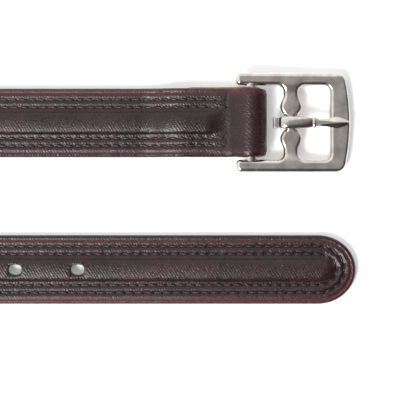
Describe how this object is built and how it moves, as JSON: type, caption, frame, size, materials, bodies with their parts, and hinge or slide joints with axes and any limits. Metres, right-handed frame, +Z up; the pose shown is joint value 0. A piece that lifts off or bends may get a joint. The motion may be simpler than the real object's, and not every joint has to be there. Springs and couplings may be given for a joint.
{
  "type": "stirrup leather",
  "caption": "Padded calf-wrapped riding strap with a square centre-bar buckle at one end and a round punched tip at the other, its middle length rolled double on edge.",
  "frame": {"origin": "middle of the part's box, on the surface that it lies on", "axes": "+X runs along the flat ends, toward the buckle and the tip; +Z is up from the surface, out of the strap's face; +Y points from the tip end to the buckle end"},
  "size_m": [0.425, 0.1178, 0.0257],
  "materials": {
    "buckle_steel": "satin polished stainless casting",
    "tongue_steel": "polished stainless casting",
    "calf": "dark oxblood-brown calf, semi-gloss, fine wrinkled grain",
    "lining": "dark brown lining leather, satin",
    "webbing": "woven nylon webbing",
    "foam": "closed-cell foam strip",
    "russet": "undyed vegetable-tanned leather, raw edges",
    "thread": "waxed polyester thread"
  },
  "bodies": {
    "strap": {"face_leather": "calf", "back_leather": "lining", "nylon_core": "webbing", "foam_pad": "foam", "bar_liner": "russet", "outer_face_thread": "thread", "inner_face_thread": "thread", "outer_back_thread": "thread", "inner_back_thread": "thread", "turnback_thread": "thread"},
    "frame": {"buckle_frame": "buckle_steel"},
    "tongue": {"buckle_tongue": "tongue_steel"}
  },
  "joints": [
    {"name": "frame_hinge", "type": "hinge", "parent": "strap", "child": "frame", "pos_m": [0.17385, 0.04068, 0.00582], "axis": [0, -1, 0], "range_deg": [-120, 100]},
    {"name": "tongue_hinge", "type": "hinge", "parent": "frame", "child": "tongue", "pos_m": [0.18848, 0.04068, 0.00437], "axis": [0, 1, 0], "range_deg": [-100, 0]}
  ]
}
